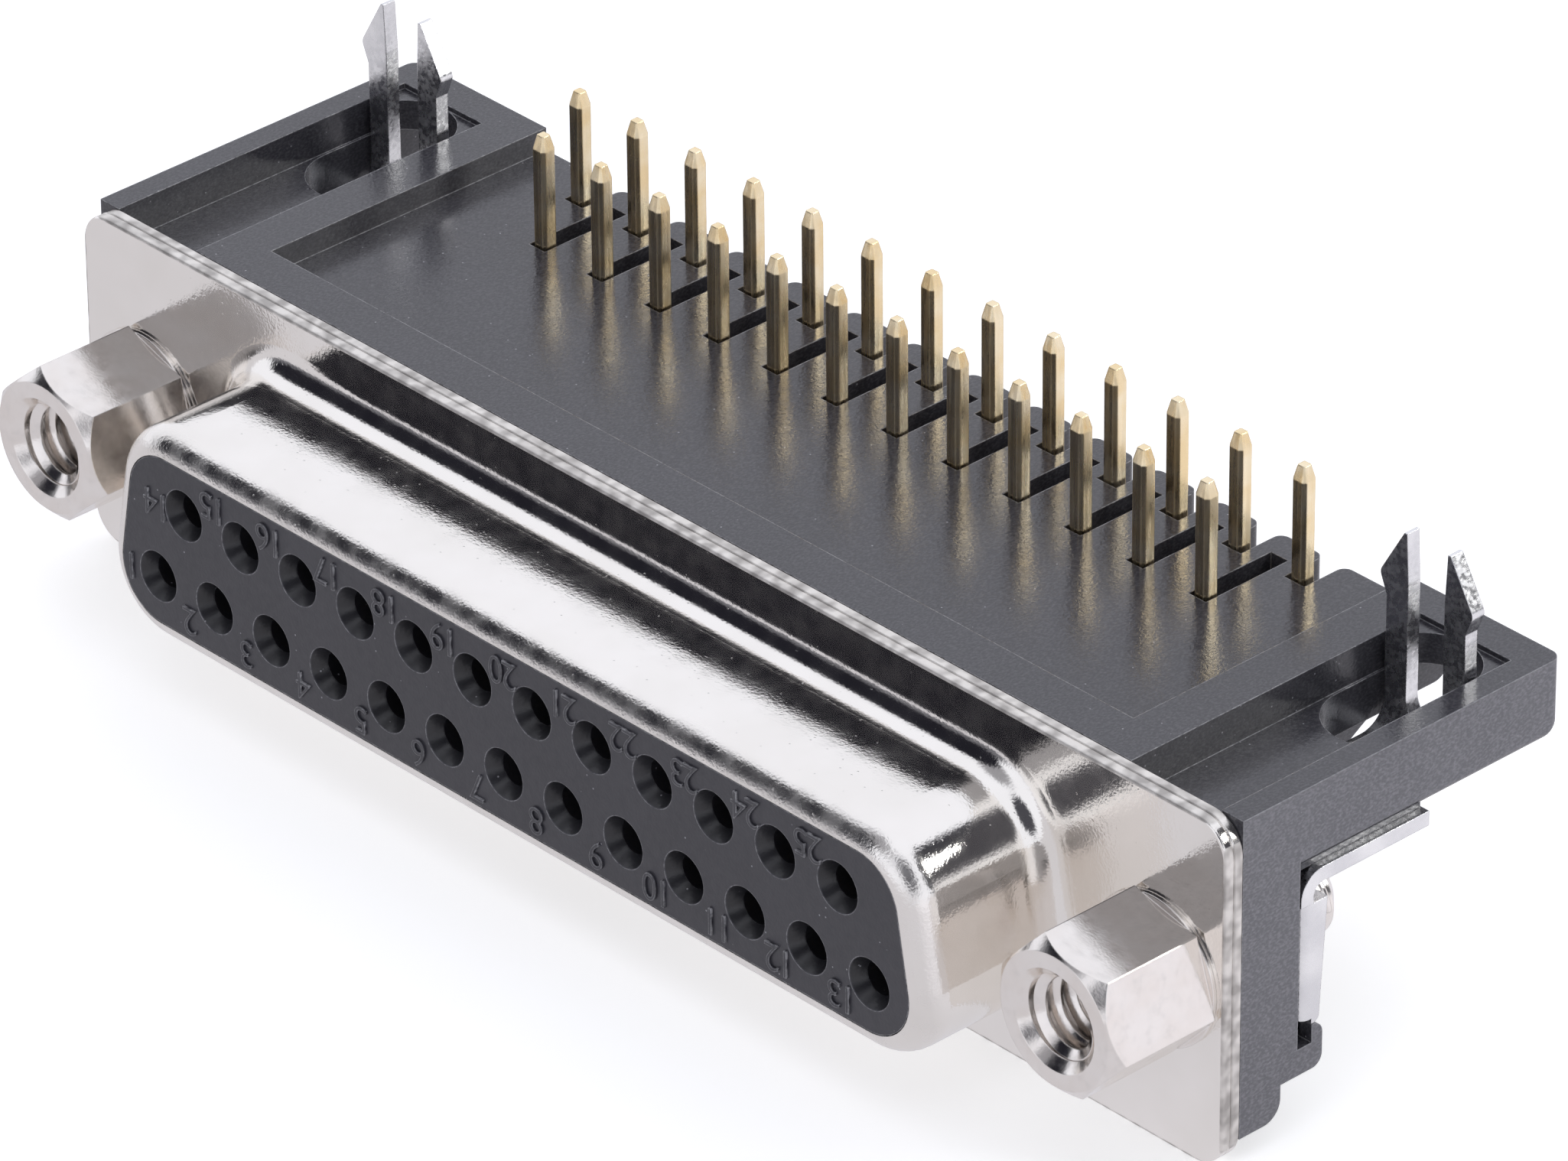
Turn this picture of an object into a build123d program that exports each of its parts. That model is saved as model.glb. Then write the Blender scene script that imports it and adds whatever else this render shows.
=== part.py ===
from build123d import *
import os
from math import cos, radians, tan

# Right-angle board connector of the D-subminiature kind: 25 socket contacts in two rows, a drawn
# metal shell, a moulded angle bracket, two hexagonal screwlocks and two barbed board locks.
# Millimetres. X runs along the rows, Y from the mating face to the rear, Z towards the circuit
# board that the solder tails go through. The origin is the middle of the mating face.

# Contact field
contact_pitch = 2.77
contact_rows_apart = 2.84
wide_row_count = 13

# Contacts: a round socket barrel in front, a square bar behind it, bent up into the solder tail
barrel_radius = 0.80
barrel_front = 1.50
barrel_length = 5.40
pin_bore_radius = 0.51
pin_bore_depth = 4.60
bar_side = 0.60
bar_corner = 0.11
bar_bend_radius = 0.85
tail_setback = 9.48
tail_length = 3.21
tip_length = 0.50
tip_taper = 16.0

# Drawn shell, in two sheets whose flanges lie face to face
shell_sheet = 0.38
skirt_end_margin = 2.57
skirt_row_margin = 2.53
skirt_corner = 2.60
skirt_side_slope = 10.0
skirt_height = 5.44
skirt_front_roll = 1.00
skirt_root_radius = 1.00
mouth_rim = 0.80
rear_cup_depth = 3.20
rear_cup_root = 0.60
rear_cup_roll = 0.80
flange_end_margin = 2.88
flange_half_height = 6.15
flange_corner = 1.20
flange_roll = 0.10
sheet_burr = 0.05

# Screwlocks: hexagonal heads, tapped in front, on a threaded stud
screwlock_offset = 4.33
hex_across_flats = 4.75
hex_length = 4.33
hex_front_ring = 2.30
hex_collar_radius = 2.59
hex_collar_length = 0.15
screw_radius = 1.42
tapping_depth = 3.45
tapping_point_angle = 59.0
screw_mouth = 0.33
stud_length = 6.65
stud_point = 0.48
screw_hole_clearance = 0.17
thread_clearance = 0.02
screwlock_turns = {"left": 42.0, "right": 47.5}

# Insulator in two mouldings, trapped between the two shell sheets
insulator_clearance = 0.05
face_recess = 0.03
face_clearance = 0.03
collar_length = 0.37
barrel_end_clearance = 0.12
rear_nose = 1.20
lead_in_radius = 0.90
lead_in_depth = 0.50
throat_radius = 0.60
cavity_clearance = 0.04
bar_hole_clearance = 0.05

# Angle bracket: one moulding with a front wall, a comb plate, two arms and two feet
wall_thickness = 1.75
seat_rise = 0.85
comb_plate_thickness = 1.97
comb_setback = 1.41
front_slot_width = 0.75
rear_slot_width = 0.87
slot_lead = 0.38
comb_tooth_end = 1.03
tooth_radius = 0.35
arm_inner_margin = 0.71
arm_end_margin = 0.02
arm_corner = 0.45
arm_heel = 0.60
channel_inner_wall = 1.70
channel_outer_wall = 0.93
channel_depth = 1.30
pocket_length = 1.50
pocket_depth = 0.20
lock_hole_radius = 1.84
lock_hole_lead = 4.00
window_half_width = 1.95
window_height = 1.51
pad_inset = 0.30
pad_height = 0.24
pad_reach = 5.45
pillar_thickness = 2.45
foot_bottom = 5.22
foot_radius = 0.70
lip_bottom = 4.04
lip_top = 2.45
lip_depth = 3.52
lip_radius = 0.42
groove_depth = 0.65
gusset_clearance = 0.14
gusset_reach = 10.55
gusset_drop = 3.00
shell_pocket_clearance = 0.12
shell_pocket_lead = 0.70
pocket_end_clearance = 0.40

# Board locks: one folded strip of spring sheet each, tapped for the screwlock and forked at the end.
# The leg's long sides are bent back as stiffeners, above a narrower tongue.
lock_sheet = 0.52
lock_width = 5.76
lock_seat_clearance = 0.05
lock_bend_inside = 0.40
lock_wide_reach = 5.52
lock_tail_width = 3.35
stiffener_head = 0.60
stiffener_foot = 0.30
stiffener_low = 2.38
stiffener_high = 1.95
stiffener_bend = 0.45
stiffener_end_radius = 0.25
tongue_inset = 0.55
tongue_top = 2.20
lock_boss_wall = 0.53
lock_boss_length = 1.00
fork_set_forward = 1.42
fork_bend_inside = 1.00
fork_gap = 1.54
fork_gap_depth = 2.57
fork_barb_half = 1.98
fork_neck_rise = 1.50
fork_barb_rise = 2.25
fork_barb_radius = 0.35
fork_tip_half = 0.98
fork_tip_rise = 3.98
fork_tip_gap_half = 0.86

# Positions that follow from the sizes above
row_height = contact_rows_apart / 2
row_half_length = contact_pitch * (wide_row_count - 1) / 2
skirt_half_width = row_half_length + skirt_end_margin
skirt_half_height = row_height + skirt_row_margin
screwlock_x = skirt_half_width + screwlock_offset
flange_half_width = screwlock_x + flange_end_margin
flange_front = skirt_height
flange_middle = flange_front + shell_sheet
flange_back = flange_middle + shell_sheet
rear_cup_back = flange_back + rear_cup_depth
barrel_back = barrel_front + barrel_length
split_y = barrel_back + barrel_end_clearance
insulator_back = rear_cup_back + rear_nose
front_tails_y = flange_back + tail_setback
rear_tails_y = front_tails_y + contact_rows_apart
bracket_rear = rear_tails_y + comb_setback
wall_back = flange_back + wall_thickness
pillar_back = flange_back + pillar_thickness
seat_z = flange_half_height
plate_top = seat_z - seat_rise
arm_bottom = plate_top - comb_plate_thickness
pad_bottom = arm_bottom - pad_height
arm_inner = skirt_half_width + arm_inner_margin
arm_outer = flange_half_width - arm_end_margin
tail_tip = seat_z + tail_length
fork_y = rear_tails_y - fork_set_forward
fork_root_z = seat_z - fork_gap_depth + fork_gap / 2
lock_hole_front = fork_y - lock_hole_lead
pad_rear = pillar_back + pad_reach
lock_leg_rear = pillar_back + lock_wide_reach
gusset_outer = screwlock_x - lock_width / 2 - gusset_clearance


def across(outline, front, back):
    """A prism along Y of an outline drawn in the XZ plane."""
    return extrude(Plane.XZ.offset(-front) * outline, amount=front - back)


def upright(outline, low, high):
    """A prism along Z of an outline drawn in the XY plane."""
    return extrude(Plane.XY.offset(low) * outline, amount=high - low)


def sideways(outline, left, right):
    """A prism along X of an outline drawn in the YZ plane."""
    return extrude(Plane.YZ.offset(left) * outline, amount=right - left)


def rectangle(left, right, low, high):
    """A rectangle given by its four sides."""
    return Pos(left, low) * Rectangle(right - left, high - low, align=Align.MIN)


def edges_at(shape, y):
    """The edges that lie in one plane across Y."""
    return shape.edges().filter_by_position(Axis.Y, y - 1e-4, y + 1e-4)


def d_outline(inset=0.0):
    """The shell's D with its wide side down, drawn inside its outer surface by the inset."""
    slope = radians(skirt_side_slope)
    corner = skirt_corner - inset
    corner_x = skirt_half_width - skirt_corner
    corner_z = skirt_half_height - skirt_corner
    top = skirt_half_height - inset
    wide = corner_x + corner / cos(slope) + (top - corner_z) * tan(slope)
    narrow = corner_x + corner / cos(slope) - (top + corner_z) * tan(slope)
    trapezium = Polygon((-wide, -top), (wide, -top), (narrow, top), (-narrow, top), align=None)
    return fillet(trapezium.vertices(), corner)


def d_edges_at(shape, y):
    """The edges in one plane across Y that follow the D, without the flange's outline."""
    reach_x = skirt_half_width + shell_sheet
    reach_z = skirt_half_height + shell_sheet
    return edges_at(shape, y).filter_by(
        lambda edge: abs(edge.center().X) < reach_x and abs(edge.center().Z) < reach_z
    )


def screw_holes(radius, front, back):
    """The two holes that the screwlock studs go through."""
    pair = Pos(-screwlock_x, 0) * Circle(radius) + Pos(screwlock_x, 0) * Circle(radius)
    return across(pair, front, back)


def flange_outline():
    """The flange that both shell sheets have."""
    return RectangleRounded(2 * flange_half_width, 2 * flange_half_height, flange_corner)


def front_shell():
    """The drawn skirt that plugs fit over, its rim turned in around the insulator's face."""
    flange = across(flange_outline(), flange_front, flange_middle)
    flange = fillet(edges_at(flange, flange_front), flange_roll)
    flange = chamfer(edges_at(flange, flange_middle), sheet_burr)
    skirt = across(d_outline(), 0, flange_middle)
    skirt = fillet(edges_at(skirt, 0), skirt_front_roll)
    inside = across(d_outline(shell_sheet), shell_sheet, flange_middle)
    inside = fillet(edges_at(inside, shell_sheet), skirt_front_roll - shell_sheet)
    body = flange + skirt
    body = fillet(d_edges_at(body, flange_front), skirt_root_radius) - inside
    body = fillet(d_edges_at(body, flange_middle), skirt_root_radius + shell_sheet)
    body -= across(d_outline(mouth_rim), 0, skirt_front_roll)
    return body - screw_holes(screw_radius + screw_hole_clearance, flange_front, flange_middle)


def rear_shell():
    """The second flange sheet, drawn backwards into a shallow cup that holds the rear insulator."""
    flange = across(flange_outline(), flange_middle, flange_back)
    flange = chamfer(edges_at(flange, flange_middle) + edges_at(flange, flange_back), sheet_burr)
    cup = across(d_outline(), flange_middle, rear_cup_back)
    cup = fillet(edges_at(cup, rear_cup_back), rear_cup_roll)
    inside = across(d_outline(shell_sheet), flange_middle, rear_cup_back - shell_sheet)
    inside = fillet(edges_at(inside, rear_cup_back - shell_sheet), rear_cup_roll - shell_sheet)
    body = flange + cup
    body = fillet(d_edges_at(body, flange_back), rear_cup_root) - inside
    body -= across(d_outline(mouth_rim), rear_cup_back - rear_cup_roll, rear_cup_back)
    return body - screw_holes(screw_radius + screw_hole_clearance, flange_middle, flange_back)


def contact_places():
    """Each contact's number, with its X, its Z and the Y of its tail."""
    places = []
    for i in range(wide_row_count):
        places.append((i + 1, i * contact_pitch - row_half_length, -row_height, rear_tails_y))
    for i in range(wide_row_count - 1):
        x = (i + 0.5) * contact_pitch - row_half_length
        places.append((wide_row_count + i + 1, x, row_height, front_tails_y))
    return places


def at_contacts(outline, front, back):
    """A copy of a small outline at every contact, as prisms along Y."""
    return across(Sketch() + [Pos(x, z) * outline for _, x, z, _ in contact_places()], front, back)


def front_insulator():
    """The socket block: its face fills the shell's mouth, and a collar traps it at the flange."""
    body_front = shell_sheet + insulator_clearance
    nose = across(d_outline(mouth_rim + face_clearance), face_recess, split_y)
    block = across(d_outline(shell_sheet + insulator_clearance), body_front, split_y)
    block = fillet(edges_at(block, body_front), skirt_front_roll - shell_sheet)
    collar = across(d_outline(insulator_clearance), flange_middle - collar_length, flange_middle)
    lead_in = loft(
        [
            Plane.XZ.offset(-face_recess) * Circle(lead_in_radius),
            Plane.XZ.offset(-face_recess - lead_in_depth) * Circle(throat_radius),
        ]
    )
    throat = across(Circle(throat_radius), face_recess, barrel_front)
    cavity = across(Circle(barrel_radius + cavity_clearance), barrel_front, split_y)
    hole = lead_in + throat + cavity
    return nose + block + collar - [Pos(x, 0, z) * hole for _, x, z, _ in contact_places()]


def rear_insulator():
    """The block behind it that closes the contact cavities and guides the bars."""
    block_back = rear_cup_back - shell_sheet - insulator_clearance
    block = across(d_outline(shell_sheet + insulator_clearance), split_y, block_back)
    block = fillet(edges_at(block, block_back), rear_cup_roll - shell_sheet)
    nose = across(d_outline(mouth_rim + face_clearance), split_y, insulator_back)
    hole = Rectangle(bar_side + 2 * bar_hole_clearance, bar_side + 2 * bar_hole_clearance)
    return block + nose - at_contacts(hole, split_y, insulator_back)


def contact(x, z, tail_y):
    """One turned and bent contact: bored barrel, square bar, bend and bevelled solder tail."""
    barrel = across(Circle(barrel_radius), barrel_front, barrel_back)
    bore = across(Circle(pin_bore_radius), barrel_front, barrel_front + pin_bore_depth)
    section = chamfer(Rectangle(bar_side, bar_side).vertices(), bar_corner)
    route = FilletPolyline(
        (0, barrel_back, 0),
        (0, tail_y, 0),
        (0, tail_y, tail_tip - tip_length - z),
        radius=bar_bend_radius,
    )
    bar = sweep(Plane(origin=route @ 0, x_dir=(1, 0, 0), z_dir=route % 0) * section, path=route)
    tip = extrude(Plane(route @ 1, x_dir=(1, 0, 0)) * section, amount=tip_length, taper=tip_taper)
    return Pos(x, 0, z) * (barrel - bore + bar + tip)


def screwlock(x, turn):
    """A hexagonal standoff turned from bar: tapped in front, with a thin collar on its stud."""
    front = flange_front - hex_length
    corner = hex_across_flats / 2 / cos(radians(30))
    turned = Polygon(
        (0, front),
        (hex_front_ring, front),
        (corner, front + corner - hex_front_ring),
        (corner, flange_front - hex_collar_length),
        (0, flange_front - hex_collar_length),
        align=None,
    )
    stud = Polygon(
        (0, flange_front - hex_collar_length),
        (hex_collar_radius, flange_front - hex_collar_length),
        (hex_collar_radius, flange_front),
        (screw_radius, flange_front),
        (screw_radius, flange_front + stud_length - stud_point),
        (screw_radius - stud_point, flange_front + stud_length),
        (0, flange_front + stud_length),
        align=None,
    )
    tapped = Polygon(
        (0, front),
        (screw_radius + screw_mouth, front),
        (screw_radius, front + screw_mouth),
        (screw_radius, front + tapping_depth),
        (0, front + tapping_depth + screw_radius / tan(radians(tapping_point_angle))),
        align=None,
    )
    bar = RegularPolygon(hex_across_flats / 2, 6, major_radius=False, rotation=turn)
    head = revolve(turned, Axis.Y) & across(bar, front, flange_front - hex_collar_length)
    return Pos(x, 0, 0) * (head + revolve(stud, Axis.Y) - revolve(tapped, Axis.Y))


def comb_slots():
    """The slots that the solder tails stand in: one row closed at the rear, one row open."""
    front_slot = rectangle(
        -front_slot_width / 2,
        front_slot_width / 2,
        front_tails_y - slot_lead,
        bracket_rear - comb_tooth_end,
    )
    rear_slot = rectangle(
        -rear_slot_width / 2, rear_slot_width / 2, rear_tails_y - slot_lead, bracket_rear
    )
    places = contact_places()
    return Sketch() + [Pos(x, 0) * (front_slot if z > 0 else rear_slot) for _, x, z, _ in places]


def side_view():
    """The outline that arm, pillar and foot share, seen along X: an angle with a lipped foot."""
    lip_back = flange_back + lip_depth
    groove_back = pillar_back + lock_sheet + 2 * lock_seat_clearance
    groove_floor = -lip_top - groove_depth
    outline = Polygon(
        (flange_back, -foot_bottom),
        (wall_back, -foot_bottom),
        (wall_back, -lip_bottom),
        (lip_back, -lip_bottom),
        (lip_back, -lip_top),
        (groove_back, -lip_top),
        (groove_back, groove_floor),
        (pillar_back, groove_floor),
        (pillar_back, arm_bottom),
        (bracket_rear, arm_bottom),
        (bracket_rear, seat_z),
        (flange_back, seat_z),
        align=None,
    )
    lip = outline.vertices().filter_by_position(Axis.X, lip_back - 0.01, lip_back + 0.01)
    outline = fillet(lip, lip_radius)
    heel = outline.vertices().sort_by_distance((bracket_rear, arm_bottom))[0]
    outline = fillet(heel, arm_heel)
    foot = outline.vertices().sort_by_distance((wall_back, -foot_bottom))[0]
    return fillet(foot, foot_radius)


def bracket_arm():
    """The right-hand arm with its pillar and foot, channelled on top for the board lock."""
    channel_inner = arm_inner + channel_inner_wall
    channel_outer = arm_outer - channel_outer_wall
    channel_rear = fork_y
    hole_rear = channel_rear + pocket_length
    arm = sideways(side_view(), arm_inner, arm_outer)
    corner = arm.edges().filter_by(Axis.Z).sort_by_distance((arm_outer, bracket_rear, seat_z))[0]
    arm = fillet(corner, arm_corner)
    channel = rectangle(channel_inner, channel_outer, flange_back, channel_rear)
    arm -= upright(channel, seat_z - channel_depth, seat_z)
    pocket = rectangle(channel_inner, channel_outer, channel_rear, hole_rear)
    arm -= upright(pocket, seat_z - pocket_depth, seat_z)
    hole = Pos(screwlock_x, (lock_hole_front + hole_rear) / 2) * SlotOverall(
        hole_rear - lock_hole_front, 2 * lock_hole_radius, rotation=90
    )
    arm -= upright(hole, arm_bottom, seat_z)
    window = rectangle(
        screwlock_x - window_half_width, screwlock_x + window_half_width, fork_y, bracket_rear
    )
    arm -= upright(window, arm_bottom, arm_bottom + window_height)
    pad = rectangle(arm_inner, arm_outer - pad_inset, pillar_back, pad_rear)
    pad -= rectangle(
        screwlock_x - lock_hole_radius, screwlock_x + lock_hole_radius, lock_hole_front, pad_rear
    )
    arm += upright(pad, pad_bottom, arm_bottom)
    gusset = Polygon(
        (pillar_back, -gusset_drop),
        (pillar_back + gusset_reach, arm_bottom),
        (pillar_back, arm_bottom),
        align=None,
    )
    return arm + sideways(gusset, arm_inner, gusset_outer)


def angle_bracket():
    """The black moulding that holds the shell upright on the board and spaces the tails."""
    comb = rectangle(-arm_inner, arm_inner, wall_back, bracket_rear) - comb_slots()
    ends = comb.vertices().filter_by_position(Axis.Y, bracket_rear - 0.01, bracket_rear + 0.01)
    inner_ends = ends.filter_by_position(Axis.X, 0.01 - arm_inner, arm_inner - 0.01)
    comb = fillet(inner_ends, tooth_radius)
    wall = rectangle(-arm_inner, arm_inner, -foot_bottom, seat_z)
    arm = bracket_arm()
    body = upright(comb, arm_bottom, plate_top) + across(wall, flange_back, wall_back)
    body += [arm, mirror(arm, Plane.YZ)]
    pocket_back = insulator_back + pocket_end_clearance
    body -= across(d_outline(-shell_pocket_clearance), flange_back, pocket_back)
    body = chamfer(d_edges_at(body, flange_back), shell_pocket_lead)
    return body - screw_holes(screw_radius + screw_hole_clearance, flange_back, pillar_back)


def lock_strip():
    """The folded strip seen along X: leg behind the pillar, run under the arm, end bent upwards."""
    leg_front = pillar_back + lock_seat_clearance
    low = -lip_top - groove_depth + lock_seat_clearance
    fork_front = fork_y - lock_sheet / 2
    outline = Polygon(
        (leg_front, low),
        (leg_front + lock_sheet, low),
        (leg_front + lock_sheet, pad_bottom - lock_sheet),
        (fork_front + lock_sheet, pad_bottom - lock_sheet),
        (fork_front + lock_sheet, seat_z),
        (fork_front, seat_z),
        (fork_front, pad_bottom),
        (leg_front, pad_bottom),
        align=None,
    )
    bends = [
        (leg_front + lock_sheet, pad_bottom - lock_sheet, lock_bend_inside),
        (leg_front, pad_bottom, lock_bend_inside + lock_sheet),
        (fork_front, pad_bottom, fork_bend_inside),
        (fork_front + lock_sheet, pad_bottom - lock_sheet, fork_bend_inside + lock_sheet),
    ]
    for y, z, radius in bends:
        outline = fillet(outline.vertices().sort_by_distance((y, z))[0], radius)
    return outline


def fork_outline():
    """The two barbed tines that snap into the board, above the seat."""
    half = [
        (lock_tail_width / 2, 0),
        (lock_tail_width / 2, fork_neck_rise),
        (fork_barb_half, fork_barb_rise),
        (fork_tip_half, fork_tip_rise),
        (fork_tip_gap_half, fork_tip_rise),
        (fork_gap / 2, fork_barb_rise),
        (fork_gap / 2, 0),
    ]
    tine = Polygon(*[(x, seat_z + rise) for x, rise in half], align=None)
    barb = tine.vertices().sort_by_distance((fork_barb_half, seat_z + fork_barb_rise))[0]
    tine = fillet(barb, fork_barb_radius)
    return tine + mirror(tine, Plane.YZ)


def leg_sides(front, back, width):
    """The two margins of the lock's leg, seen from above."""
    half = lock_width / 2
    left = rectangle(-half, width - half, front, back)
    return left + mirror(left, Plane.YZ)


def board_lock():
    """The right-hand board lock, drawn about its own middle plane."""
    leg_front = pillar_back + lock_seat_clearance
    leg_back = leg_front + lock_sheet
    strip = sideways(lock_strip(), -lock_width / 2, lock_width / 2)
    tail = sideways(lock_strip(), -lock_tail_width / 2, lock_tail_width / 2)
    wide = sideways(
        rectangle(leg_front, lock_leg_rear, -foot_bottom, seat_z), -lock_width / 2, lock_width / 2
    )
    slot = rectangle(-fork_gap / 2, fork_gap / 2, fork_root_z, seat_z)
    slot = across(slot + Pos(0, fork_root_z) * Circle(fork_gap / 2), wall_back, bracket_rear)
    body = (strip & wide) + (tail - slot)
    body += across(fork_outline(), fork_y - lock_sheet / 2, fork_y + lock_sheet / 2)
    body -= upright(leg_sides(leg_front, leg_back, tongue_inset), -foot_bottom, -tongue_top)
    stiffener = Polygon(
        (leg_back, -stiffener_low),
        (leg_back + stiffener_foot, -stiffener_low),
        (leg_back + stiffener_head, stiffener_high),
        (leg_back, stiffener_high),
        align=None,
    )
    end = stiffener.vertices().sort_by_distance((leg_back + stiffener_foot, -stiffener_low))[0]
    stiffener = fillet(end, stiffener_end_radius)
    for left in (-lock_width / 2, lock_width / 2 - lock_sheet):
        body += sideways(stiffener, left, left + lock_sheet)
    bends = leg_sides(leg_front, leg_front + stiffener_bend, stiffener_bend)
    for x in (stiffener_bend - lock_width / 2, lock_width / 2 - stiffener_bend):
        bends -= Pos(x, leg_front + stiffener_bend) * Circle(stiffener_bend)
    body -= upright(bends, -tongue_top, stiffener_high)
    body += across(Circle(screw_radius + lock_boss_wall), leg_back, leg_back + lock_boss_length)
    return body - across(
        Circle(screw_radius + thread_clearance), leg_front, leg_back + lock_boss_length
    )


parts = {
    "front_shell": front_shell(),
    "rear_shell": rear_shell(),
    "front_insulator": front_insulator(),
    "rear_insulator": rear_insulator(),
    "angle_bracket": angle_bracket(),
}
lock = board_lock()
for name, side in (("left", -1), ("right", 1)):
    parts["screwlock_" + name] = screwlock(side * screwlock_x, screwlock_turns[name])
    parts["board_lock_" + name] = Pos(side * screwlock_x, 0, 0) * lock
for number, x, z, tail_y in contact_places():
    parts[f"contact_{number:02d}"] = contact(x, z, tail_y)

os.makedirs("parts", exist_ok=True)
for name, shape in parts.items():
    export_step(shape, f"parts/{name}.step")
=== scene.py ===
from math import cos, pi, radians, sin

import bmesh
import bpy
from mathutils import Matrix, Vector


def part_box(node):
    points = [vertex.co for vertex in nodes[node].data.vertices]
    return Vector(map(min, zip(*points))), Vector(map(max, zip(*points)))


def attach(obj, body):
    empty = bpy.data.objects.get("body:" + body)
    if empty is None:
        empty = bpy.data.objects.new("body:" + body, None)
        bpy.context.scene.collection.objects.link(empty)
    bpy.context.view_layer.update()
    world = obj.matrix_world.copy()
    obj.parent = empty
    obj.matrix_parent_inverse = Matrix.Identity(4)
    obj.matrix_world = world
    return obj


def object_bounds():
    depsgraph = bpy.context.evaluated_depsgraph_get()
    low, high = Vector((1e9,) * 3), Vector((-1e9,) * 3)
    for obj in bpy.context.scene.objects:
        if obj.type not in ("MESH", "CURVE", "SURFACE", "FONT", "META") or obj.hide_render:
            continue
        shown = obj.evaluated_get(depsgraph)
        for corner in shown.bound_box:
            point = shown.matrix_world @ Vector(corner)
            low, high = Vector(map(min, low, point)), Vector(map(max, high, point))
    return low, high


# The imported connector: 34 solids that already stand where they belong. All lengths here are metres,
# and the origin is the middle of the mating face, with Y to the rear and Z towards the solder side.
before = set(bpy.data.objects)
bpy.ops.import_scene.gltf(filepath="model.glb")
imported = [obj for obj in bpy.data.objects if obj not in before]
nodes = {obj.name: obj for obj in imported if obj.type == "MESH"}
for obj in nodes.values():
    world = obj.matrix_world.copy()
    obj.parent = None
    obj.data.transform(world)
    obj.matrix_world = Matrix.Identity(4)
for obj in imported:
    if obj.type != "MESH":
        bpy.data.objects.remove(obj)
cad_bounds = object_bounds()


# Camera: a long lens looks down on the right front corner. The picture is 2050 pixels wide, so the
# focal length in pixels gives the lens for a sensor of the usual width.
mm = 0.001
photo_width = 2050
sensor_width = 36.0
focal_pixels = 15233
camera_azimuth = radians(47.25)
camera_elevation = radians(30.99)
camera_roll = radians(-0.50)
camera_distance = 349.0 * mm
camera_target = Vector((13.01, 0, 11.30)) * mm
nearest_seen = 10 * mm

bpy.ops.object.select_all(action="DESELECT")
backward = Vector(
    (
        sin(camera_azimuth) * cos(camera_elevation),
        -cos(camera_azimuth) * cos(camera_elevation),
        sin(camera_elevation),
    )
)
level = Vector((cos(camera_azimuth), sin(camera_azimuth), 0))
upward = backward.cross(level)
right = cos(camera_roll) * level + sin(camera_roll) * upward
upward = cos(camera_roll) * upward - sin(camera_roll) * level
bpy.ops.object.camera_add()
camera = bpy.context.object
camera.name = "camera"
camera.data.sensor_width = sensor_width
camera.data.lens = focal_pixels / photo_width * sensor_width
camera.data.clip_start = nearest_seen
turn = Matrix((right, upward, backward)).transposed().to_4x4()
camera.matrix_world = Matrix.Translation(camera_target + camera_distance * backward) @ turn
bpy.context.scene.camera = camera


# Floor: a wide sheet of pale matt paper, level with the lower edge of the flange. The camera sees it a
# little brighter than it is lit. Metal does not see it lit: it sees a painted reflection, a pale grey
# glow with painted shade, dimmer at the front left near the object and brighter to the right rear.
paper_width = 4.0
paper_colour = (0.90, 0.90, 0.90, 1)
paper_glow = 0.50
mirrored_tint = (1.0, 0.982, 1.045, 1)
mirrored_dim = 0.68
mirrored_bright = 0.95
right_rear = (0.7, 0.7, 0)
dim_up_to = 15 * mm
bright_from = 45 * mm

bpy.ops.object.select_all(action="DESELECT")
bpy.ops.mesh.primitive_plane_add(size=paper_width, location=(0, 0, cad_bounds[0][2]))
floor = bpy.context.object
floor.name = "floor"
bpy.ops.object.transform_apply(location=True, rotation=True, scale=True)


def new_material(name):
    """A named material with an empty node tree, and the tree's nodes and links."""
    material = bpy.data.materials.new(name)
    material.use_nodes = True
    tree = material.node_tree
    tree.nodes.clear()
    return material, tree.nodes, tree.links


def link_range(tn, tl, value, from_min, from_max, to_min, to_max):
    """A value carried from one range to another, held inside it."""
    span = tn.new("ShaderNodeMapRange")
    span.inputs["From Min"].default_value = from_min
    span.inputs["From Max"].default_value = from_max
    span.inputs["To Min"].default_value = to_min
    span.inputs["To Max"].default_value = to_max
    tl.new(value, span.inputs["Value"])
    return span.outputs["Result"]


def link_reach(tn, tl, vector, direction):
    """How far a vector reaches in one direction."""
    reach = tn.new("ShaderNodeVectorMath")
    reach.operation = "DOT_PRODUCT"
    reach.inputs[1].default_value = direction
    tl.new(vector, reach.inputs[0])
    return reach.outputs["Value"]


paper, tn, tl = new_material("matt_paper")
ray = tn.new("ShaderNodeLightPath")
place = tn.new("ShaderNodeTexCoord")
matt = tn.new("ShaderNodeBsdfDiffuse")
matt.inputs["Color"].default_value = paper_colour
glow = tn.new("ShaderNodeEmission")
seen = link_range(tn, tl, ray.outputs["Is Camera Ray"], 0, 1, 0, paper_glow)
tl.new(seen, glow.inputs["Strength"])
lit = tn.new("ShaderNodeAddShader")
tl.new(matt.outputs[0], lit.inputs[0])
tl.new(glow.outputs[0], lit.inputs[1])
# Painted reflection: glossy rays see this glow in place of the lit paper, with painted shade towards
# the front left.
glossy_glow = tn.new("ShaderNodeEmission")
glossy_glow.inputs["Color"].default_value = mirrored_tint
depth = link_reach(tn, tl, place.outputs["Object"], right_rear)
shade = link_range(tn, tl, depth, dim_up_to, bright_from, mirrored_dim, mirrored_bright)
tl.new(shade, glossy_glow.inputs["Strength"])
choice = tn.new("ShaderNodeMixShader")
tl.new(ray.outputs["Is Glossy Ray"], choice.inputs["Fac"])
tl.new(lit.outputs[0], choice.inputs[1])
tl.new(glossy_glow.outputs[0], choice.inputs[2])
paper_output = tn.new("ShaderNodeOutputMaterial")
tl.new(choice.outputs[0], paper_output.inputs["Surface"])
floor.data.materials.append(paper)


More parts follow.
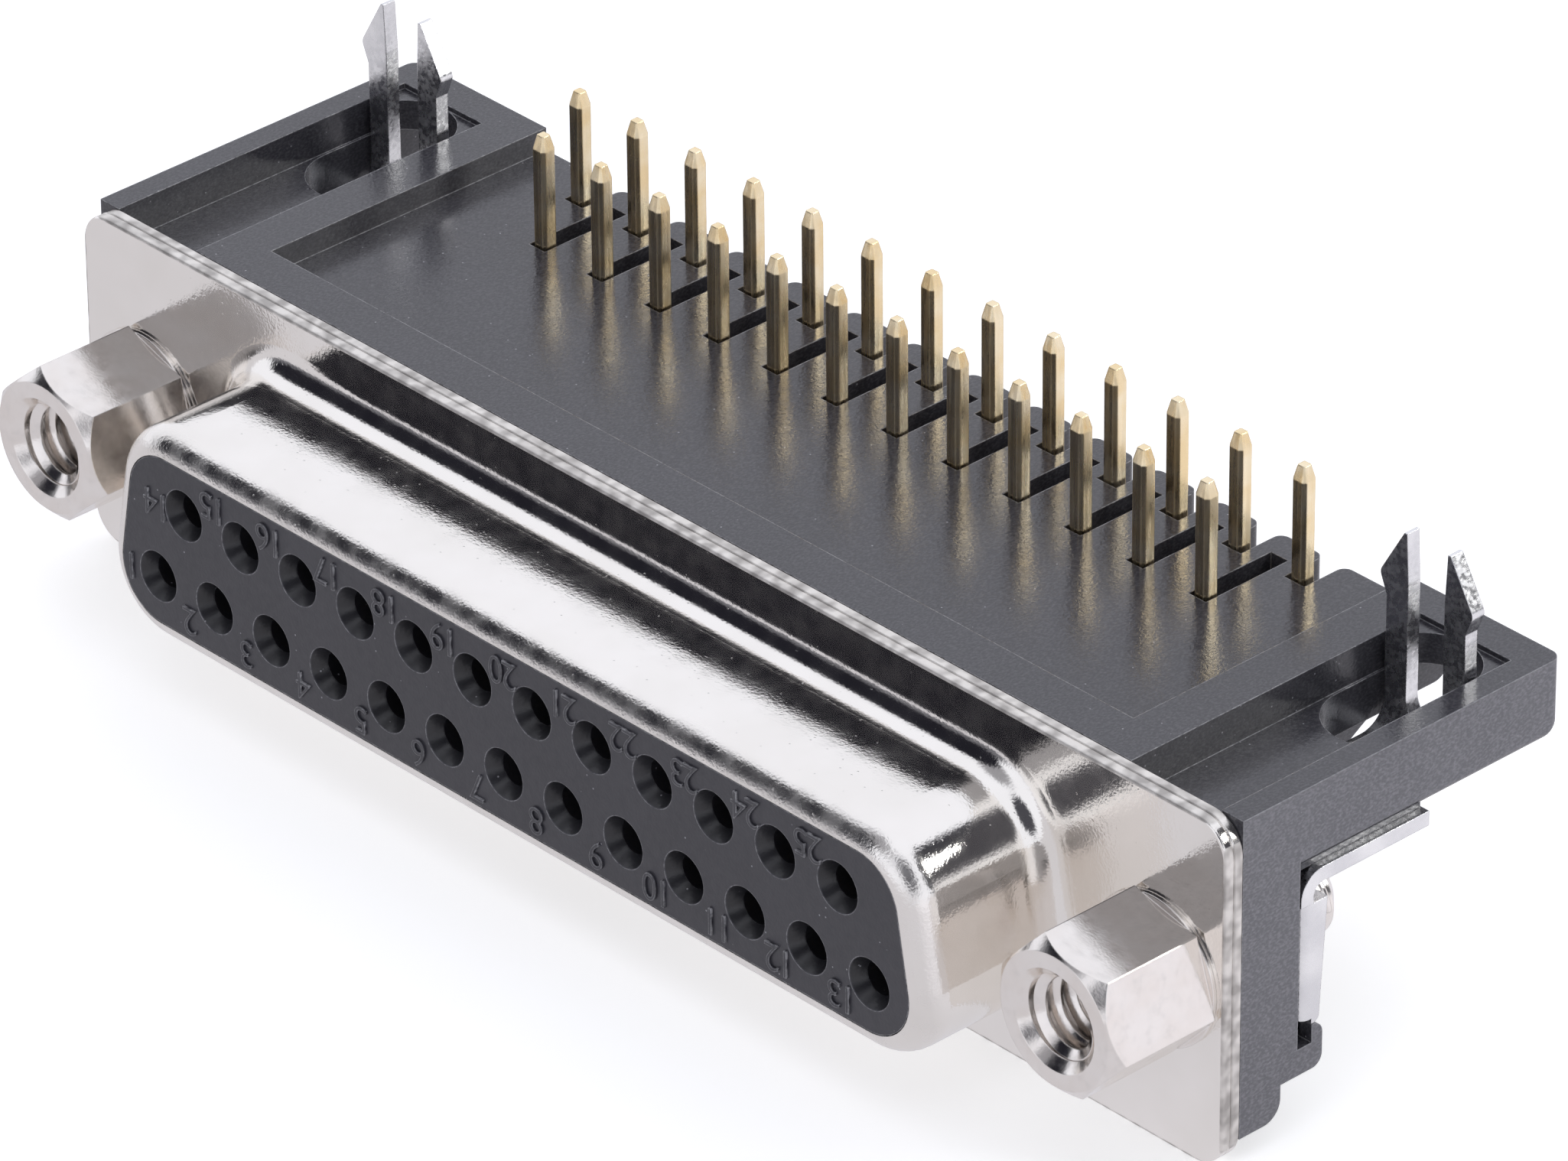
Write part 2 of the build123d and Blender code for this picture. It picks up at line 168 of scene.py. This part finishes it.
# Light: an even, slightly cool white room. Five round patches of it are darker, and give the metal its
# dark bands. Each has the way it lies in, its half angle, the half angle at which it has faded out,
# both in degrees, and its colour. The one lamp stands in the last patch, behind on the right.
room_white = (0.95, 0.965, 1.04)
camera_white = (1.0, 1.0, 1.0)
lamp_side = (0.66, 0.58, 0.47)
lamp_distance = 0.45
lamp_width = 0.11
lamp_watts = 0.38
dark_patches = [
    ((-0.28, -0.60, 0.75), 14, 27, (0.33, 0.33, 0.36)),
    ((-0.64, -0.75, 0.15), 12, 20, (0.15, 0.15, 0.17)),
    ((-0.63, -0.62, 0.46), 16, 23, (0.014, 0.014, 0.020)),
    ((0.62, -0.58, 0.53), 17, 27, (0.07, 0.07, 0.085)),
    (lamp_side, 22, 30, (0.05, 0.05, 0.06)),
]


def link_mix(tn, tl, factor, first, second):
    """A colour between two others, each a socket or three numbers."""
    mix = tn.new("ShaderNodeMix")
    mix.data_type = "RGBA"
    for name, colour in (("A", first), ("B", second)):
        if isinstance(colour, tuple):
            mix.inputs[name].default_value = (*colour, 1)
        else:
            tl.new(colour, mix.inputs[name])
    tl.new(factor, mix.inputs["Factor"])
    return mix.outputs["Result"]


world = bpy.data.worlds.new("studio")
bpy.context.scene.world = world
world.use_nodes = True
tn, tl = world.node_tree.nodes, world.node_tree.links
tn.clear()
outwards = tn.new("ShaderNodeTexCoord")
room = room_white
for towards, core, edge, colour in dark_patches:
    reach = link_reach(tn, tl, outwards.outputs["Generated"], Vector(towards).normalized())
    shade = tn.new("ShaderNodeMapRange")
    shade.interpolation_type = "SMOOTHSTEP"
    shade.inputs["From Min"].default_value = cos(radians(edge))
    shade.inputs["From Max"].default_value = cos(radians(core))
    tl.new(reach, shade.inputs["Value"])
    room = link_mix(tn, tl, shade.outputs["Result"], room, colour)
ray = tn.new("ShaderNodeLightPath")
air = tn.new("ShaderNodeBackground")
tl.new(link_mix(tn, tl, ray.outputs["Is Camera Ray"], room, camera_white), air.inputs["Color"])
world_output = tn.new("ShaderNodeOutputWorld")
tl.new(air.outputs[0], world_output.inputs["Surface"])

bpy.ops.object.select_all(action="DESELECT")
bpy.ops.object.light_add(type="AREA", location=lamp_distance * Vector(lamp_side).normalized())
lamp = bpy.context.object
lamp.name = "rear_lamp"
lamp.data.size = lamp_width
lamp.data.energy = lamp_watts
lamp.rotation_euler = Vector(lamp_side).to_track_quat("Z", "Y").to_euler()


# Plated sheet: a cold-rolled steel strip with thin bright nickel. Drawing left it rough like orange
# peel, most of all at the front rim, so a reflection breaks up into specks at its edge. The sheared
# outline of the flange is torn, darker and rougher.
plating_light = (0.94, 0.91, 0.87)
plating_dark = (0.90, 0.87, 0.825)
plating_cloud_size = 3.0 * mm
gloss_patch_size = 0.9 * mm
wave_size = 0.50 * mm
wave_depth = 0.0030 * mm
peel_size = 0.10 * mm
peel_depth = 0.0044 * mm
pimple_cell = 0.26 * mm
pimple_size = 0.15
pimple_share = 0.30
pimple_depth = 0.0025 * mm
rub_size = 0.20 * mm
rub_depth = 0.0005 * mm
rim_peel = 2.6
rim_peel_from = 0.3 * mm
rim_peel_to = 1.5 * mm
rim_blur = 2.1
rim_blur_from = 0.5 * mm
rim_blur_to = 1.2 * mm
sheared_width = 0.13 * mm
sheared_fade = 0.04 * mm
sheared_roughness = 0.50
sheared_colour = (0.40, 0.38, 0.36)
sheet_edge_radius = 0.06 * mm

# Noise keeps near one half, and this stretch of it is spread over the whole of a range.
noise_low = 0.35
noise_high = 0.65


def link_noise(tn, tl, place, cell, detail=2.0, stretch=(1, 1, 1)):
    """Noise on Object coordinates in cells of one size, pulled long along chosen axes."""
    mapping = tn.new("ShaderNodeMapping")
    mapping.inputs["Scale"].default_value = stretch
    noise = tn.new("ShaderNodeTexNoise")
    noise.inputs["Scale"].default_value = 1 / cell
    noise.inputs["Detail"].default_value = detail
    tl.new(place.outputs["Object"], mapping.inputs["Vector"])
    tl.new(mapping.outputs["Vector"], noise.inputs["Vector"])
    return noise.outputs["Fac"]


def link_spread(tn, tl, noise, first, second):
    """Noise spread out from one value to another."""
    return link_range(tn, tl, noise, noise_low, noise_high, first, second)


def link_clouds(tn, tl, place, cell, detail, light, dark):
    """A colour that goes from light to dark in soft clouds."""
    clouds = link_spread(tn, tl, link_noise(tn, tl, place, cell, detail), 0, 1)
    return link_mix(tn, tl, clouds, light, dark)


def link_math(tn, tl, operation, first, second):
    """One sum on two values, each a socket or a number."""
    node = tn.new("ShaderNodeMath")
    node.operation = operation
    for i, value in enumerate((first, second)):
        if isinstance(value, (int, float)):
            node.inputs[i].default_value = value
        else:
            tl.new(value, node.inputs[i])
    return node.outputs["Value"]


def link_beyond(tn, tl, place, axis, limit, soft):
    """One where a point lies further from the middle than a limit on one axis, and nought inside."""
    parts = tn.new("ShaderNodeSeparateXYZ")
    tl.new(place.outputs["Object"], parts.inputs["Vector"])
    reach = link_math(tn, tl, "ABSOLUTE", parts.outputs[axis], 0)
    return link_range(tn, tl, reach, limit, limit + soft, 0, 1)


def link_specks(tn, tl, place, cell, size, share):
    """Small dots in a share of the cells, one to a cell. Their size is a share of it."""
    dots = tn.new("ShaderNodeTexVoronoi")
    dots.inputs["Scale"].default_value = 1 / cell
    tl.new(place.outputs["Object"], dots.inputs["Vector"])
    dot = link_range(tn, tl, dots.outputs["Distance"], 0.6 * size, size, 1, 0)
    pick = tn.new("ShaderNodeSeparateColor")
    tl.new(dots.outputs["Color"], pick.inputs["Color"])
    chosen = link_math(tn, tl, "LESS_THAN", pick.outputs["Red"], share)
    return link_math(tn, tl, "MULTIPLY", dot, chosen)


def link_bumps(tn, tl, heights, edge_radius):
    """One bump laid on another, over edges that are rounded a little. Heights are in metres."""
    edge = tn.new("ShaderNodeBevel")
    edge.samples = 6
    edge.inputs["Radius"].default_value = edge_radius
    normal = edge.outputs["Normal"]
    for value, depth in heights:
        bump = tn.new("ShaderNodeBump")
        bump.inputs["Strength"].default_value = 1.0
        bump.inputs["Distance"].default_value = depth
        tl.new(value, bump.inputs["Height"])
        tl.new(normal, bump.inputs["Normal"])
        normal = bump.outputs["Normal"]
    return normal


def link_surface(tn, tl, colour, roughness, normal, metallic):
    """The shader and the output at the end of a material."""
    surface = tn.new("ShaderNodeBsdfPrincipled")
    surface.inputs["Metallic"].default_value = metallic
    output = tn.new("ShaderNodeOutputMaterial")
    tl.new(colour, surface.inputs["Base Color"])
    tl.new(roughness, surface.inputs["Roughness"])
    tl.new(normal, surface.inputs["Normal"])
    tl.new(surface.outputs[0], output.inputs["Surface"])
    return surface


def finish_node(name, material):
    """Gives a CAD node its own material in every slot."""
    mesh = nodes[name].data
    if not mesh.materials:
        mesh.materials.append(material)
    for i in range(len(mesh.materials)):
        mesh.materials[i] = material


def sheet_plating(name, smooth, rough):
    """Plated sheet, from its smooth to its rough patches, with the rim and the sheared outline."""
    material, tn, tl = new_material(name)
    place = tn.new("ShaderNodeTexCoord")
    parts = tn.new("ShaderNodeSeparateXYZ")
    tl.new(place.outputs["Object"], parts.inputs["Vector"])
    from_rim = parts.outputs["Y"]
    waves = link_noise(tn, tl, place, wave_size, 1.0)
    peel = link_noise(tn, tl, place, peel_size, 1.5)
    drawn = link_range(tn, tl, from_rim, rim_peel_from, rim_peel_to, rim_peel, 1)
    peel = link_math(tn, tl, "MULTIPLY", peel, drawn)
    pimples = link_specks(tn, tl, place, pimple_cell, pimple_size, pimple_share)
    rubbing = link_noise(tn, tl, place, rub_size, 2.0, (1, 0.05, 1))
    colour = link_clouds(tn, tl, place, plating_cloud_size, 3.0, plating_light, plating_dark)
    roughness = link_spread(tn, tl, link_noise(tn, tl, place, gloss_patch_size), smooth, rough)
    blur = link_range(tn, tl, from_rim, rim_blur_from, rim_blur_to, rim_blur, 1)
    roughness = link_math(tn, tl, "MULTIPLY", roughness, blur)
    torn = link_spread(tn, tl, waves, 0.15, 0.85)
    half_width, half_height = cad_bounds[1][0], -cad_bounds[0][2]
    for axis, half in (("X", half_width), ("Z", half_height)):
        outline = link_beyond(tn, tl, place, axis, half - sheared_width, sheared_fade)
        dark = link_math(tn, tl, "MULTIPLY", outline, torn)
        colour = link_mix(tn, tl, dark, colour, sheared_colour)
        sheared = link_math(tn, tl, "MULTIPLY", outline, sheared_roughness)
        roughness = link_math(tn, tl, "MAXIMUM", roughness, sheared)
    heights = [
        (waves, wave_depth),
        (peel, peel_depth),
        (pimples, pimple_depth),
        (rubbing, rub_depth),
    ]
    link_surface(tn, tl, colour, roughness, link_bumps(tn, tl, heights, sheet_edge_radius), 1.0)
    return material


# Front shell: the drawn skirt with its flange, one sheet of plated steel. Plugs slide over the skirt,
# which leaves it a little rubbed from front to back.
finish_node("front_shell", sheet_plating("shell_plating", 0.09, 0.15))


# Rear shell: the second flange sheet, whose cup is drawn backwards and hidden by the bracket. It is
# plated like the front one, and a little duller because nothing rubs it.
finish_node("rear_shell", sheet_plating("rear_plating", 0.20, 0.28))


# Front insulator: the socket block, moulded in black glass-filled polyester with a slightly violet
# cast. Its face has a fine spark-eroded texture, and the countersinks are polished. Everything behind
# the face, the countersinks and holes, is painted near black as painted shade.
plastic_index = 1.60
plastic_cloud_size = 3.5 * mm
zone_fade = 0.02 * mm
mottle_size = 0.30 * mm
grain_size = 0.08 * mm
grain_colour = (0.52, 0.51, 0.54)
grain_elsewhere = 0.35
fibre_cell = 0.30 * mm
fibre_size = 0.12
fibre_share = 0.12
fibre_colour = (0.34, 0.335, 0.36)
texture_size = 0.11 * mm
texture_depth = 0.0068 * mm
highlight_speck_size = 0.16 * mm
edge_radius = 0.07 * mm
painted_edge_highlight = (0.44, 0.435, 0.45)
edge_match = 0.99
full_edge_match = 0.88


def link_worn_edges(tn, tl, radius):
    """One along sharp edges, where a pale highlight is painted, and nought on plain faces."""
    rounded = tn.new("ShaderNodeBevel")
    rounded.samples = 8
    rounded.inputs["Radius"].default_value = radius
    plain = tn.new("ShaderNodeNewGeometry")
    match = tn.new("ShaderNodeVectorMath")
    match.operation = "DOT_PRODUCT"
    tl.new(rounded.outputs["Normal"], match.inputs[0])
    tl.new(plain.outputs["True Normal"], match.inputs[1])
    return link_range(tn, tl, match.outputs["Value"], edge_match, full_edge_match, 0, 1)


def moulded_plastic(name, body, zone_axis, zone_from, zone_body, gloss, zone_gloss, sand):
    """Glass-filled plastic: a mottled body, a second colour and gloss past a distance from the middle
    on one axis, fine pale grains, specks where fibres show, and a painted highlight along sharp edges."""
    material, tn, tl = new_material(name)
    place = tn.new("ShaderNodeTexCoord")
    zone = link_beyond(tn, tl, place, zone_axis, zone_from, zone_fade)
    colour = link_mix(tn, tl, zone, body, zone_body)
    clouds = link_noise(tn, tl, place, plastic_cloud_size, 3.0)
    clouds = link_range(tn, tl, clouds, 0.3, 0.7, 0, 0.22)
    colour = link_mix(tn, tl, clouds, colour, tuple(1.9 * c for c in body))
    grains = link_noise(tn, tl, place, grain_size, 3.0, (1, 0.6, 1))
    grains = link_range(tn, tl, grains, 0.42, 0.72, 0, sand)
    amount = link_range(tn, tl, zone, 0, 1, grain_elsewhere, 1)
    grains = link_math(tn, tl, "MULTIPLY", grains, amount)
    colour = link_mix(tn, tl, grains, colour, grain_colour)
    fibres = link_specks(tn, tl, place, fibre_cell, fibre_size, fibre_share)
    colour = link_mix(tn, tl, fibres, colour, fibre_colour)
    # Painted highlight: sharp edges are painted pale in broken specks, standing in for glints.
    highlight_specks = link_noise(tn, tl, place, highlight_speck_size, 3.0)
    highlight_specks = link_range(tn, tl, highlight_specks, 0.35, 0.62, 0.25, 1)
    edge_highlight = link_math(tn, tl, "MULTIPLY", link_worn_edges(tn, tl, edge_radius), highlight_specks)
    colour = link_mix(tn, tl, edge_highlight, colour, painted_edge_highlight)
    mottle = link_noise(tn, tl, place, mottle_size, 3.0)
    smooth = link_range(tn, tl, mottle, 0.3, 0.7, *gloss)
    textured = link_range(tn, tl, mottle, 0.3, 0.7, *zone_gloss)
    inside = link_math(tn, tl, "MULTIPLY", smooth, link_math(tn, tl, "SUBTRACT", 1, zone))
    outside = link_math(tn, tl, "MULTIPLY", textured, zone)
    roughness = link_math(tn, tl, "ADD", inside, outside)
    texture = link_noise(tn, tl, place, texture_size, 2.0)
    normal = link_bumps(tn, tl, [(texture, texture_depth)], edge_radius)
    surface = link_surface(tn, tl, colour, roughness, normal, 0.0)
    surface.inputs["IOR"].default_value = plastic_index
    return material


insulator_plastic = moulded_plastic(
    "insulator_plastic",
    body=(0.034, 0.033, 0.041),
    zone_axis="Y",
    zone_from=0.06 * mm,
    # Painted shade: past the face, in the countersinks and holes, the colour is painted near black.
    zone_body=(0.009, 0.009, 0.011),
    gloss=(0.34, 0.46),
    zone_gloss=(0.28, 0.36),
    sand=0.0,
)
finish_node("front_insulator", insulator_plastic)


# Numerals: raised on the insulator's face beside the holes, cut into the mould. They stand upright
# when the solder tails point down.
numeral_height = 1.00 * mm
numeral_rise = 0.07 * mm
numeral_sink = 0.04 * mm
numeral_spacing = 0.86
numeral_bevel = 0.015 * mm
numeral_thinning = 0.02 * mm
cap_share = 0.70
beside_lower = (-1.22 * mm, -0.94 * mm)
beside_upper = (-1.28 * mm, 0.99 * mm)
beside_first = (-1.28 * mm, -0.06 * mm)
pitch = 2.77 * mm
row_height = 1.42 * mm
wide_row = 13
face_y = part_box("front_insulator")[0][1]

numerals = []
for number in range(1, 2 * wide_row):
    if number <= wide_row:
        hole_x, hole_z = (number - (wide_row + 1) / 2) * pitch, -row_height
        beside_x, beside_z = beside_lower
    else:
        hole_x, hole_z = (number - 1.5 * wide_row) * pitch, row_height
        beside_x, beside_z = beside_upper
    if number in (1, wide_row + 1):
        beside_x, beside_z = beside_first
    bpy.ops.object.select_all(action="DESELECT")
    bpy.ops.object.text_add()
    text = bpy.context.object
    text.data.body = str(number)
    text.data.align_x = "CENTER"
    text.data.align_y = "CENTER"
    text.data.size = numeral_height / cap_share
    text.data.space_character = numeral_spacing
    text.data.extrude = (numeral_rise + numeral_sink) / 2
    text.data.bevel_depth = numeral_bevel
    text.data.bevel_resolution = 1
    text.data.offset = -numeral_thinning
    bpy.ops.object.convert(target="MESH")
    text.rotation_euler = (radians(90), radians(180), 0)
    text.location = (
        hole_x + beside_x,
        face_y - (numeral_rise - numeral_sink) / 2,
        hole_z + beside_z,
    )
    bpy.ops.object.transform_apply(location=True, rotation=True, scale=True)
    numerals.append(text)
bpy.ops.object.select_all(action="DESELECT")
for text in numerals:
    text.select_set(True)
bpy.context.view_layer.objects.active = numerals[0]
bpy.ops.object.join()
face_numerals = bpy.context.object
face_numerals.name = "face_numerals"
face_numerals.data.materials.clear()
face_numerals.data.materials.append(insulator_plastic)
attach(face_numerals, "root")


# Rear insulator: the second moulding of the same polyester, which closes the contact cavities. It
# hides inside the shells and the bracket.
rear_plastic = moulded_plastic(
    "rear_plastic",
    body=(0.055, 0.053, 0.062),
    zone_axis="Y",
    zone_from=10.2 * mm,
    zone_body=(0.050, 0.048, 0.056),
    gloss=(0.40, 0.52),
    zone_gloss=(0.44, 0.56),
    sand=0.15,
)
finish_node("rear_insulator", rear_plastic)


# Angle bracket: the black moulding that everything is fixed to. It is glass-filled nylon: glossy on
# top, where the tails mirror as soft streaks, and sandy on its two outer sides. These sides are
# painted paler too, partly for the sandy finish and partly as painted light from the right.
side_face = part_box("angle_bracket")[1][0]
bracket_plastic = moulded_plastic(
    "bracket_plastic",
    body=(0.036, 0.035, 0.042),
    zone_axis="X",
    zone_from=side_face - 0.04 * mm,
    # Partly painted light: the outer sides are painted much paler than the body, as well as sandy.
    zone_body=(0.150, 0.148, 0.162),
    gloss=(0.16, 0.24),
    zone_gloss=(0.45, 0.60),
    sand=0.26,
)
finish_node("angle_bracket", bracket_plastic)


# Screwlocks: turned from hexagonal brass bar and nickel-plated. The plating follows the fine lines
# of the drawn bar and is stained in places. The left and the right one are the same piece.
nickel_light = (0.90, 0.865, 0.83)
nickel_dark = (0.86, 0.81, 0.765)
nickel_cloud_size = 1.4 * mm
stain_colour = (0.66, 0.64, 0.62)
stain_size = 0.40 * mm
bar_peel_size = 0.085 * mm
bar_peel_depth = 0.0020 * mm
drawing_size = 0.12 * mm
drawing_depth = 0.0008 * mm
bar_edge_radius = 0.07 * mm


def bar_plating(name):
    """Nickel on drawn brass: brighter than the sheet, with a shallow grain."""
    material, tn, tl = new_material(name)
    place = tn.new("ShaderNodeTexCoord")
    peel = link_noise(tn, tl, place, bar_peel_size, 3.0)
    drawing = link_noise(tn, tl, place, drawing_size, 2.0, (1, 0.06, 1))
    stain = link_noise(tn, tl, place, stain_size, 4.0)
    colour = link_clouds(tn, tl, place, nickel_cloud_size, 3.0, nickel_light, nickel_dark)
    stained = link_range(tn, tl, stain, 0.55, 0.75, 0, 0.18)
    colour = link_mix(tn, tl, stained, colour, stain_colour)
    roughness = link_spread(tn, tl, stain, 0.12, 0.22)
    heights = [(peel, bar_peel_depth), (drawing, drawing_depth)]
    link_surface(tn, tl, colour, roughness, link_bumps(tn, tl, heights, bar_edge_radius), 1.0)
    return material


bar_nickel = bar_plating("bar_nickel")
finish_node("screwlock_left", bar_nickel)
finish_node("screwlock_right", bar_nickel)


# Threads: 40 to the inch on 2.84 mm, tapped inside each screwlock and cut on the end of its stud. One
# turn of the profile is swept along the axis, and its ends are closed.
thread_pitch = 0.635 * mm
thread_major = 1.44 * mm
thread_minor = 1.13 * mm
crest_width = 0.10 * mm
root_width = 0.56 * mm
tapped_turns = 4
tapped_lead = 0.50 * mm
stud_radius = 1.42 * mm
stud_crest = 0.045 * mm
stud_root_width = 0.30 * mm
stud_root_sunk = 0.02 * mm
stud_turns = 2
stud_run_out = 0.3
stud_end_gap = 0.50 * mm
thread_steps = 48
merge_distance = 0.0005 * mm
smooth_up_to = radians(30)
screwlock_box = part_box("screwlock_right")
bore_front = screwlock_box[0][1]
stud_back = screwlock_box[1][1]
screwlock_x = (screwlock_box[0][0] + screwlock_box[1][0]) / 2


def thread_ridge(name, x, front, base, crest, base_width, turns):
    """A helical ridge about an axis along Y, from its wide base to its narrow crest."""
    bpy.ops.object.select_all(action="DESELECT")
    bpy.ops.mesh.primitive_plane_add(size=1)
    ridge = bpy.context.object
    ridge.name = name
    bpy.ops.object.mode_set(mode="EDIT")
    mesh = bmesh.from_edit_mesh(ridge.data)
    for vertex in mesh.verts:
        radius, width = (base, base_width) if vertex.co.x > 0 else (crest, crest_width)
        vertex.co = Vector((radius, width / 2 if vertex.co.y > 0 else -width / 2, 0))
    bmesh.ops.delete(mesh, geom=list(mesh.faces), context="FACES_ONLY")
    bmesh.update_edit_mesh(ridge.data)
    bpy.ops.object.mode_set(mode="OBJECT")
    screw = ridge.modifiers.new("Screw", "SCREW")
    screw.axis = "Y"
    screw.angle = 2 * pi
    screw.screw_offset = thread_pitch
    screw.iterations = turns
    screw.steps = thread_steps
    screw.render_steps = thread_steps
    screw.use_merge_vertices = False
    bpy.ops.object.modifier_apply(modifier="Screw")
    bpy.ops.object.mode_set(mode="EDIT")
    bpy.ops.mesh.select_all(action="SELECT")
    bpy.ops.mesh.remove_doubles(threshold=merge_distance)
    bpy.ops.mesh.select_all(action="DESELECT")
    bpy.ops.mesh.select_mode(type="EDGE")
    bpy.ops.mesh.select_non_manifold()
    bpy.ops.mesh.fill_holes(sides=0)
    bpy.ops.mesh.select_all(action="SELECT")
    bpy.ops.mesh.normals_make_consistent(inside=False)
    bpy.ops.object.mode_set(mode="OBJECT")
    ridge.location = (x, front, 0)
    bpy.ops.object.transform_apply(location=True, rotation=True, scale=True)
    bpy.ops.object.shade_smooth_by_angle(angle=smooth_up_to)
    ridge.data.materials.append(bar_nickel)
    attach(ridge, "root")


for side, name in ((-1, "left"), (1, "right")):
    thread_ridge(
        "tapped_thread_" + name,
        side * screwlock_x,
        bore_front + tapped_lead,
        thread_major,
        thread_minor,
        root_width,
        tapped_turns,
    )
    thread_ridge(
        "stud_thread_" + name,
        side * screwlock_x,
        stud_back - stud_end_gap - (stud_turns + stud_run_out) * thread_pitch,
        stud_radius - stud_root_sunk,
        stud_radius + stud_crest,
        stud_root_width,
        stud_turns,
    )


# Board locks: spring strip, folded and hot-tinned, so its surface is mottled like frost. The stud of
# a screwlock is screwed through the collar of each and holds it.
tin_light = (0.90, 0.90, 0.90)
tin_dark = (0.78, 0.78, 0.79)
tin_cloud_size = 1.4 * mm
frost_size = 0.18 * mm
frost_depth = 0.006 * mm
crystal_size = 0.14 * mm
crystal_depth = 0.0025 * mm
strip_edge_radius = 0.05 * mm


def tinned_strip(name):
    """Tin with frosted, crystal-like patches."""
    material, tn, tl = new_material(name)
    place = tn.new("ShaderNodeTexCoord")
    frost = link_noise(tn, tl, place, frost_size, 3.0)
    crystals = tn.new("ShaderNodeTexVoronoi")
    crystals.inputs["Scale"].default_value = 1 / crystal_size
    tl.new(place.outputs["Object"], crystals.inputs["Vector"])
    colour = link_clouds(tn, tl, place, tin_cloud_size, 3.0, tin_light, tin_dark)
    roughness = link_spread(tn, tl, frost, 0.18, 0.36)
    heights = [(crystals.outputs["Distance"], crystal_depth), (frost, frost_depth)]
    link_surface(tn, tl, colour, roughness, link_bumps(tn, tl, heights, strip_edge_radius), 1.0)
    return material


lock_tin = tinned_strip("lock_tin")
finish_node("board_lock_left", lock_tin)
finish_node("board_lock_right", lock_tin)


# Contacts: bronze wire bars, pressed square and gold-flashed. Fine lines run up the tails, and the
# thin gold shows a little of the bronze in places.
gold_light = (0.99, 0.86, 0.61)
gold_dark = (0.92, 0.73, 0.43)
gold_cloud_size = 1.1 * mm
line_size = 0.16 * mm
line_depth = 0.0045 * mm
pit_size = 0.10 * mm
pit_depth = 0.0020 * mm
bar_corner_radius = 0.07 * mm


def gold_flash(name):
    """Thin gold over bronze, drawn lengthwise."""
    material, tn, tl = new_material(name)
    place = tn.new("ShaderNodeTexCoord")
    lines = link_noise(tn, tl, place, line_size, 2.0, (1, 1, 0.06))
    pits = link_noise(tn, tl, place, pit_size, 2.0)
    colour = link_clouds(tn, tl, place, gold_cloud_size, 2.0, gold_light, gold_dark)
    roughness = link_spread(tn, tl, lines, 0.20, 0.34)
    heights = [(lines, line_depth), (pits, pit_depth)]
    link_surface(tn, tl, colour, roughness, link_bumps(tn, tl, heights, bar_corner_radius), 1.0)
    return material


contact_gold = gold_flash("contact_gold")
for name in nodes:
    if name.startswith("contact_"):
        finish_node(name, contact_gold)


bpy.context.scene.view_settings.view_transform = "Standard"
